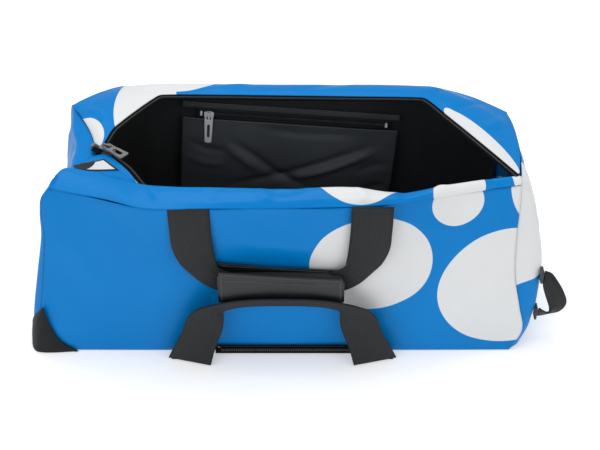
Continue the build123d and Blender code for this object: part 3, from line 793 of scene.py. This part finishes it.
def offset_line(line, towards, distance):
    """Each point of a line moved a distance towards the matching aim."""
    return [Vector(p) + (Vector(q) - Vector(p)).normalized() * distance for p, q in zip(line, towards)]


def coil_row(name, line, upward, node, wide=2.4, pitch=2.4):
    bm = bmesh.new()
    points = [Vector(point) * MM for point in line]
    row_along(points, pitch, upward, lambda matrix: small_block(bm, 1.25, wide, 1.9, matrix))
    bmesh.ops.bevel(
        bm, geom=bm.edges[:], offset=0.42 * MM, affect="EDGES", segments=1, profile=0.5, material=-1
    )
    return finished(name, bm, black_nylon, "bag", "zip_coil", node)


tape_width = 8
far_tape_edge = far_edge[1:]
far_tape_aim = [(p[0] * 0.9 + (16 if p[0] < -150 else 0), p[1] - 30, p[2] - 9) for p in far_tape_edge]
near_tape_edge = near_flap_lines[-1][1:]
near_tape_aim = [
    (-190, -12, 250), (-166, -36, 248), (-138, -70, 240), (-60, -70, 205), (12, -72, 205), (97, -70, 205),
    (158, -66, 205), (206, -58, 210), (282, -48, 246),
]
for side, half, edge, aim, lap, teeth_out in (
    ("far", "back", far_tape_edge, far_tape_aim, 1.2, 4.8),
    ("near", "front", near_tape_edge, near_tape_aim, 3, 5.5),
):
    lines = [offset_line(edge, aim, -lap), offset_line(edge, aim, tape_width)]
    tape_bm = cloth_mesh(lines, 160, 4, lambda point, passed: (passed, point.x + point.y))
    sheet("main_zip_tape_" + side, tape_bm, tape_cloth, "zip_tape", "main_zip_tape_" + half, 0.8, 0.0)
    teeth = [p + Vector((0, 0, 1)) for p in offset_line(edge, aim, teeth_out)]
    coil_row("main_zip_teeth_" + side, teeth, Vector((0, 0, 1)), "main_zip_coil_" + half)

heading = Vector((math.cos(math.radians(-25)), math.sin(math.radians(-25)), 0))
joined_middle = Vector((-206, -14, 253))
joined_line = [joined_middle + heading * x for x in (-18.5, -12, -5)]
joined_aside = Vector((0, 0, 1)).cross(heading)
sheet(
    "main_zip_joined_tapes",
    cloth_mesh(
        [[p + joined_aside * w + Vector((0, 0, 0.5)) for p in joined_line] for w in (-9, 0, 9)],
        10, 8, lambda point, passed: (passed, point.x + point.y),
    ),
    tape_cloth,
    "zip_tape", "main_zip_joined_tape", 0.8, 0.0,
)
coil_row(
    "main_zip_joined_teeth", [p + Vector((0, 0, 1.9)) for p in joined_line],
    Vector((0, 0, 1)), "main_zip_joined_coil", 5.2,
)


def closed_zip(name, place, half, height, cloth, nodes_named):
    """A closed zip: its tape, the two rows of meshed coil and the rows of sewing."""
    columns = [half * share for share in (-1, -0.5, 0, 0.5, 1)]
    sheet(
        name + "_tape",
        cloth_mesh(
            [[place(x, z, 0.4 + 0.3 * (z == 0)) for x in columns] for z in (-height, 0, height)],
            100, 6, lambda point, passed: (passed, point.x),
        ),
        cloth,
        "zip_tape", nodes_named[0], 0.8, 0.0,
    )
    inner = [x * (half - 7) / half for x in columns]
    coil_row(name + "_teeth", [place(x, 0, 1.9) for x in inner], towards_mouth, nodes_named[1], 4.2)
    rows = [[place(x, z, 1.0) for x in columns] for z in (height - 1.4, 1.4 - height)]
    stitches(name + "_stitching", rows, black_thread, "bag", "zip_tape", towards_mouth)


closed_zip(
    "pocket_zip", lambda x, z, out: on_pocket(x + 4, z, out), 131, 7.4, pocket_tape_cloth,
    ("pocket_zip_tape", "pocket_zip_coil"),
)


def on_lower_edge(x, z, out):
    """A place on the lower edge zip, from its middle, in millimetres."""
    return Vector((38 + x, -117.0 - out + 0.28 * (z - 6.2), 7.0 + z * 0.95))

closed_zip("lower_edge_zip", on_lower_edge, 114, 6.2, tape_cloth, ("hem_zip_tape", "hem_zip_coil"))

# ------------------------------------------------------------------ sliders, pullers and stops
# Die-cast zinc parts: grey enamelled ones on the main zip and the lower edge zip,
# and light plated ones on the pocket, whose shine is painted in as a near-white colour.


def cast_metal(name, dark, light, rough, shine):
    finish = Finish(name)
    solid = finish.place()
    slow, fine = finish.cloud(solid, 120, 3), finish.cloud(solid, 900, 2)
    tint = finish.mix(slow, paint(*dark), paint(*light))
    return finish.surface(
        Base_Color=tint,
        Metallic=shine,
        Roughness=slow * 0.15 + fine * 0.1 + rough,
        Normal=finish.raised(slow + fine * 0.3, 0.00012),
    )


grey_metal = cast_metal("grey_enamelled_zinc", (96, 97, 98), (146, 146, 146), 0.28, 0.6)
# Pocket parts: their own light plated colour with a painted shine. The base is near white and barely metallic, so
# diffuse colour stands in for the reflection and keeps them bright in the pocket's shade.
plated_metal_painted_shine = cast_metal("plated_zinc_painted_shine", (228, 229, 230), (244, 244, 245), 0.25, 0.1)
grey_parts = (
    "main_slider_body", "main_puller", "main_zip_end_stop", "hem_zip_stops", "hem_slider_body", "hem_puller",
)
for node in grey_parts:
    recolour(node, grey_metal)
for node in ("pocket_zip_stops", "pocket_slider_body", "pocket_puller"):
    recolour(node, plated_metal_painted_shine)

# ------------------------------------------------------------------ upper carrying handle
# A loop of black polyester webbing is sewn into the top seam at both ends and passes
# through the grip. Each strap gathers and turns as it runs into the grip.


def webbing(name):
    finish = Finish(name)
    across, along, _ = finish.axes(finish.place(on_cloth=True))
    lean = (along * 900 + across * 1500).worked("SINE") * (along * 900 - across * 1500).worked("SINE")
    ribs = (across * 2500).worked("SINE")
    slow = finish.cloud(finish.place(), 30, 3)
    weave = ribs * 0.6 + lean * 0.5
    tint = finish.mix(weave * 0.22 + slow * 0.6 + 0.1, paint(11, 12, 14), paint(35, 38, 41))
    return finish.surface(
        Base_Color=tint,
        Roughness=slow * 0.2 + 0.45,
        Normal=finish.raised(weave, 0.0003),
        Specular_IOR_Level=0.3,
    )


web_material = webbing("black_webbing")


def strap_mesh(stations, along, bow=0.0, across=10):
    """Webbing through stations, each a middle, a direction across and a width, bowed by bow."""
    lines = []
    for share in (-0.5, -0.25, 0, 0.25, 0.5):
        line = []
        for number, (middle, sideways, width) in enumerate(stations):
            nearby = stations[min(number + 1, len(stations) - 1)][0], stations[max(number - 1, 0)][0]
            run = Vector(nearby[0]) - Vector(nearby[1])
            side = Vector(sideways).normalized()
            face = side.cross(run).normalized()
            lift = bow * (1 - (2 * share) ** 2) * fade(number / (len(stations) - 1), 0.3)
            line.append(Vector(middle) + side * width * share + face * lift)
        lines.append(line)
    bm = cloth_mesh(lines, along, across, None)
    flat_map = bm.loops.layers.uv["flat"]
    run = sum((Vector(b[0]) - Vector(a[0])).length for a, b in zip(stations, stations[1:]))
    width = max(station[2] for station in stations)
    bm.verts.index_update()
    bm.verts.ensure_lookup_table()
    for vertex in bm.verts:
        column, row = vertex.index % (along + 1), vertex.index // (along + 1)
        for loop in vertex.link_loops:
            loop[flat_map].uv = (width * MM * row / across, run * MM * column / along)
    return bm


def upper_strap(side):
    """The stations of one strap, side being -1 for the left one and 1 for the right."""
    middle_x = 12
    stations = (
        (109, -125.4, 251.2 + side * 0.9, (1, 0, 0), 50),
        (109, -126.2, 240, (1, 0, 0), 50),
        (108.5, -126.4, 214, (1, 0, 0), 50),
        (107, -126.2, 189, (1, 0, -0.04), 50),
        (102.5, -126.6, 171.5, (0.957, 0.03, -0.29), 45),
        (97.2, -127.0, 161, (0.89, 0.05, -0.45), 39),
        (87.4, -127.4, 146.2, (0.53, 0.03, -0.85), 34),
        (75.5, -127.6, 138, (0.2, 0, -0.98), 34.5),
        (62, -127.8, 134, (0.02, 0, -1), 34),
    )
    return [((middle_x + side * x, y, z), (a, b, side * c), width) for x, y, z, (a, b, c), width in stations]

for name, side in (("upper_strap_left", -1), ("upper_strap_right", 1)):
    sheet(
        name,
        strap_mesh(upper_strap(side), 64, bow=-1.6),
        web_material,
        "webbing", "upper_handle_webbing", 2.0, 0.0, "upper_handle",
    )

# ------------------------------------------------------------------ grip
# A foam pad lies round the webbing inside a sleeve of coated cloth. The sleeve is open
# along its top, where it rolls over, and is closed by a front flap with touch tape.


def grip_cloth(name):
    finish = Finish(name)
    solid = finish.place()
    pores = finish.cloud(solid, 420, 4, 0.7)
    slow = finish.cloud(solid, 22, 3)
    tint = finish.mix(slow * 0.7 + pores * 0.3, paint(11, 13, 15), paint(28, 32, 35))
    return finish.surface(
        Base_Color=tint,
        Roughness=slow * 0.15 + pores * 0.15 + 0.3,
        Normal=finish.raised(pores * 0.5 + slow * 6, 0.0003),
    )


sleeve_material = grip_cloth("grip_coated_cloth")
grip_middle, grip_half = 11.5, 78
grip_columns = (-67, -40, grip_middle, 62, 90)
sleeve_foot, sleeve_height = 104, 54
sleeve_profile = (
    (-124.0, 156.5), (-122.4, 149), (-121.2, 130), (-122.0, 112), (-125.0, 105.4), (-129.5, 104.6),
    (-134.0, 106.5), (-135.6, 116), (-135.9, 132), (-135.4, 147),
)

def grip_lift(x, z):
    """The sleeve stands a little higher at its left end and hangs in the middle."""
    aside = (x - grip_middle) / grip_half
    return z - 6.5 * aside * (z - sleeve_foot) / sleeve_height - 1.2 * (1 - aside**2)

sleeve_lines = [[(x, y, grip_lift(x, z)) for x in grip_columns] for y, z in sleeve_profile]
sleeve_folds = [
    (((-40, -123, 150), (-10, -123, 156), (30, -123, 154)), 5, -1.0),
    (((-66, -136, 120), (-58, -136, 130), (-60, -136, 146)), 4, 1.2),
]
sheet(
    "grip_sleeve",
    cloth_mesh(sleeve_lines, 90, 70, None, sleeve_folds, slack=0.4),
    sleeve_material,
    "grip_cloth", "grip_wrap", 1.3, 0.0, "upper_handle",
)


def foam(name):
    finish = Finish(name)
    cells = finish.node("ShaderNodeTexVoronoi", None, {"Vector": finish.place(), "Scale": 900.0})
    pores = Amount(finish, cells.outputs["Distance"])
    tint = finish.mix(pores, paint(20, 21, 22), paint(52, 54, 56))
    return finish.surface(Base_Color=tint, Roughness=pores * 0.2 + 0.75, Normal=finish.raised(pores, 0.0003))


pad_length, pad_depth, pad_height = 152 * MM, 11.6 * MM, 42 * MM
pad_middle = Vector((grip_middle, -127.8, 126.5)) * MM
pad_bm = bmesh.new()
bmesh.ops.create_cube(pad_bm, size=1, matrix=Matrix.Diagonal((pad_length, pad_depth, pad_height, 1)))
bmesh.ops.subdivide_edges(pad_bm, edges=pad_bm.edges[:], cuts=7, use_grid_fill=True)
for vertex in pad_bm.verts:
    x, y, z = vertex.co
    plump = 1 - 0.16 * (2 * z / pad_height) ** 4
    narrowed = 1 - 0.05 * (2 * x / pad_length) ** 2
    vertex.co = Vector((x, y * plump, z * narrowed)) + pad_middle
pad = finished("grip_foam_pad", pad_bm, foam("grip_foam"), "upper_handle", "foam", "grip_core")
softened = pad.modifiers.new("softened", "SUBSURF")
softened.levels = softened.render_levels = 2


def touch_tape(name, scale, dark, light):
    finish = Finish(name)
    cells = finish.node("ShaderNodeTexVoronoi", None, {"Vector": finish.place(), "Scale": scale})
    tufts = Amount(finish, cells.outputs["Distance"])
    tint = finish.mix(tufts, paint(*dark), paint(*light))
    return finish.surface(Base_Color=tint, Roughness=tufts * 0.1 + 0.8, Normal=finish.raised(tufts, 0.0006))


for node, scale in (("grip_loop_strip", 700.0), ("grip_hook_strip", 1100.0)):
    recolour(node, touch_tape(node + "_pile", scale, (14, 15, 16), (48, 50, 52)))

flap_profile = (
    (-137.9, 109.4), (-138.6, 113), (-139.0, 122), (-138.8, 134), (-138.4, 143), (-138.6, 150), (-138.0, 154.5),
)
flap_lines = [[(x, y, grip_lift(x, z)) for x in (-65, -40, grip_middle, 62, 88)] for y, z in flap_profile]
sheet(
    "grip_front_flap",
    cloth_mesh(flap_lines, 90, 30, None, [], slack=0.7, held=0.06),
    sleeve_material,
    "grip_cloth", "grip_flap", 1.2, 0.0, "grip_flap",
)
grey_thread = thread("grey_thread", (120, 122, 124))
seam_columns = (-62, -40, grip_middle, 62, 85)
flap_seams = [[(x, y, grip_lift(x, z)) for x in seam_columns] for y, z in ((-139.4, 152), (-139.3, 143.5))]
flap_seams += [[(x, y - 0.7, grip_lift(x, z)) for y, z in flap_profile[1:-1]] for x in (-62, 85)]
stitches("grip_flap_stitching", flap_seams, grey_thread, "grip_flap", "grip_cloth", towards_mouth)
sleeve_seams = [[(x, -124.9, grip_lift(x, 154)) for x in (-64, -40, grip_middle, 62, 87)]]
stitches("grip_sleeve_stitching", sleeve_seams, grey_thread, "upper_handle", "grip_cloth", Vector((0, 1, 0)))

# ------------------------------------------------------------------ lower carrying handle
# The same webbing makes a second loop from the bottom edge. Its legs splay at the feet
# and turn over into a band that is folded double and stands up against the wall.


leg = [
    ((-109, -135.4, 1.8), (1, -0.26, 0), 58),
    ((-100.5, -135.6, 28.5), (1, -0.12, 0), 53),
    ((-90.5, -135.8, 55), (1, -0.02, 0.03), 51),
    ((-85, -136.6, 76), (0.98, 0.03, -0.17), 47),
    ((-79.5, -138, 90), (0.93, 0.15, -0.34), 39),
    ((-72, -139.8, 99), (0.7, 0.35, -0.62), 29),
    ((-59, -141.2, 105.5), (0.2, 0.45, -0.87), 23),
    ((-34, -141.6, 111), (0, 0.47, -0.88), 22),
]
crown = [((12, -141.8, 113), (0, 0.47, -0.88), 22)]
other_leg = [((24 - x, y, z), (-a, b, c), width) for (x, y, z), (a, b, c), width in reversed(leg)]
sheet(
    "lower_handle_band",
    strap_mesh(leg + crown + other_leg, 190),
    web_material,
    "webbing", "lower_handle_webbing", 2.6, 0.0, "lower_handle",
)


def anchor_mesh(place, width, depth, height):
    """A folded and sewn end of webbing, a low softened block."""
    bm = bmesh.new()
    small_block(bm, width, depth, height, Matrix.Translation(Vector(place) * MM))
    bmesh.ops.subdivide_edges(bm, edges=bm.edges[:], cuts=3, use_grid_fill=True)
    bmesh.ops.bevel(
        bm, geom=[e for e in bm.edges if e.calc_face_angle(0) > 0.5], offset=0.6 * MM,
        affect="EDGES", segments=2, profile=0.5, material=-1,
    )
    return bm


tuck_material = twill("sewn_webbing_end", (16, 17, 19), (44, 46, 48))
for name, x in (("lower_handle_anchor_left", -107), ("lower_handle_anchor_right", 131)):
    finished(
        name, anchor_mesh((x, -124, 1.3), 52, 14.6, 2.2), tuck_material, "bag", "webbing", "lower_handle_anchors"
    )

# ------------------------------------------------------------------ end grab loop
# A short loop of the same webbing is sewn to the right-hand end. It is creased
# narrow at both ends and twists as it comes round.
loop_stations = [
    ((346.9, -90, 110), (0.1, 0.3, 0.9), 15),
    ((352, -91, 104), (0.4, 0.15, 0.9), 22),
    ((359, -92, 90), (0.5, 0, 0.87), 27),
    ((366.5, -92, 74), (0.72, 0, 0.69), 26),
    ((371, -91.5, 60), (0.95, 0.1, 0.3), 23),
    ((368, -91, 48.5), (0.75, 0.5, -0.35), 20),
    ((360, -90.5, 44.5), (0.1, 0.7, -0.7), 17),
    ((352, -90.5, 45.5), (0.05, 0.5, -0.85), 20),
    ((346.4, -90, 47), (0, 0.3, -0.95), 20),
]
sheet(
    "end_grab_loop",
    strap_mesh(loop_stations, 110, bow=1.6),
    web_material,
    "webbing", "end_handle_webbing", 2.2, 0.0, "end_handle",
)
for name, z in (("end_loop_anchor_upper", 112), ("end_loop_anchor_lower", 48)):
    end_anchor = anchor_mesh((343.6, -90, z), 3.0, 12, 20)
    finished(name, end_anchor, tuck_material, "bag", "webbing", "end_handle_anchors")

# ------------------------------------------------------------------ corner guards
# A tough black cloth patch is folded round each lower corner of the left-hand end
# and sewn down along its edge, to take the scuffs when the bag is stood on end.


def guard_cloth(name):
    finish = Finish(name)
    x, y, z = finish.axes(finish.place())
    weave = ((x + y) * 3200).worked("SINE") * (z * 3200).worked("SINE")
    slow = finish.cloud(finish.place(), 40, 3)
    tint = finish.mix(weave * 0.2 + slow * 0.6 + 0.1, paint(9, 10, 12), paint(30, 32, 35))
    return finish.surface(
        Base_Color=tint, Roughness=slow * 0.2 + 0.5, Specular_IOR_Level=0.25, Normal=finish.raised(weave, 0.0003)
    )


guard_material = guard_cloth("ballistic_guard_cloth")
guard_lines = [
    [(-294.5, -111.5, 74), (-309, -101.5, 52), (-319, -83, 24), (-324, -60, 1.2)],
    [(-294.5, -111.8, 74), (-307, -110, 48), (-314.5, -107, 22), (-318.5, -104.5, 1.2)],
    [(-294.5, -112, 74), (-299.5, -114, 48), (-304.5, -116.5, 22), (-309, -117.6, 1.2)],
    [(-294.5, -112, 74), (-288.5, -113.6, 44), (-278, -115.4, 18), (-257, -116.6, 1.2)],
]
for name, mirrored in (("corner_guard_near", 1), ("corner_guard_far", -1)):
    lines = [[(x, y * mirrored, z) for x, y, z in line] for line in guard_lines]
    bm = cloth_mesh(lines, 34, 30, None, slack=0.3)
    bmesh.ops.remove_doubles(bm, verts=bm.verts[:], dist=0.05 * MM)
    bmesh.ops.recalc_face_normals(bm, faces=bm.faces[:])
    node = "corner_guard_front" if mirrored == 1 else "corner_guard_back"
    sheet(name, bm, guard_material, "guard_cloth", node, 1.4, 1.0)
    seam = [(x - 2.6, (y - 1.6) * mirrored, z - 1.6) for x, y, z in guard_lines[3][1:]]
    outward = Vector((0, -mirrored, 0))
    stitches(name + "_stitching", [seam], black_thread, "bag", "guard_cloth", outward)

# ------------------------------------------------------------------ label
# A small woven label lies on the slope beside the zip's closed end. It carries only
# a plain border, a dark half and a light half.


def woven_label(name):
    finish = Finish(name)
    across, up, _ = finish.axes(finish.place(on_cloth=True))
    border = ((across - 0.5).worked("ABSOLUTE") - 0.43) * 60
    border = border.worked("MAXIMUM", ((up - 0.5).worked("ABSOLUTE") - 0.40) * 60)
    border = border.worked("ADD", 0.0, clamp=True)
    half = ((across - up * 0.5 - 0.22) * 60).worked("ADD", 0.0, clamp=True)
    threads = (up * 260).worked("SINE") * 0.5 + 0.5
    pale = finish.mix(threads * 0.3, paint(222, 222, 221), paint(194, 195, 195))
    dark = finish.mix(threads * 0.4, paint(10, 10, 11), paint(34, 35, 36))
    tint = finish.mix(border, finish.mix(half, dark, pale), dark)
    return finish.surface(Base_Color=tint, Roughness=threads * 0.1 + 0.6, Normal=finish.raised(threads, 0.0001))


label_bm = bmesh.new()
bmesh.ops.create_grid(label_bm, x_segments=36, y_segments=26, size=0.5)
label_map = label_bm.loops.layers.uv.new("flat")
label_far = (Vector((-243.5, -43, 0)) * MM, Vector((-208, -31, 0)) * MM)
label_near = (Vector((-240, -58, 0)) * MM, Vector((-187, -52, 0)) * MM)
end_wall_top = 249.8 * MM
label_lift = 1.6 * MM
for vertex in label_bm.verts:
    right, forward = vertex.co.x + 0.5, vertex.co.y + 0.5
    for corner in vertex.link_loops:
        corner[label_map].uv = (right, 1 - forward)
    far_spot, near_spot = (edge[0].lerp(edge[1], right) for edge in (label_far, label_near))
    spot = far_spot.lerp(near_spot, forward)
    hit = near_flap_tree.ray_cast(Vector((spot.x, spot.y, 0.4)), Vector((0, 0, -1)))[0]
    vertex.co = Vector((spot.x, spot.y, (hit.z if hit else end_wall_top) + label_lift))
sheet("woven_label", label_bm, woven_label("woven_label_threads"), "label", "label_patch", 0.8, -1.0)

# ------------------------------------------------------------------ floor
# A plain pale floor, big enough to fill the view.
floor_mesh = bpy.data.meshes.new("floor")
floor_bm = bmesh.new()
bmesh.ops.create_grid(floor_bm, x_segments=1, y_segments=1, size=6)
floor_bm.to_mesh(floor_mesh)
floor_bm.free()
floor = bpy.data.objects.new("floor", floor_mesh)
scene.collection.objects.link(floor)
floor_finish = Finish("pale_floor")
pale_floor = floor_finish.surface(
    Base_Color=(0.9, 0.9, 0.9, 1), Roughness=0.8, Emission_Color=(1, 1, 1, 1), Emission_Strength=0.3
)
floor_mesh.materials.append(pale_floor)
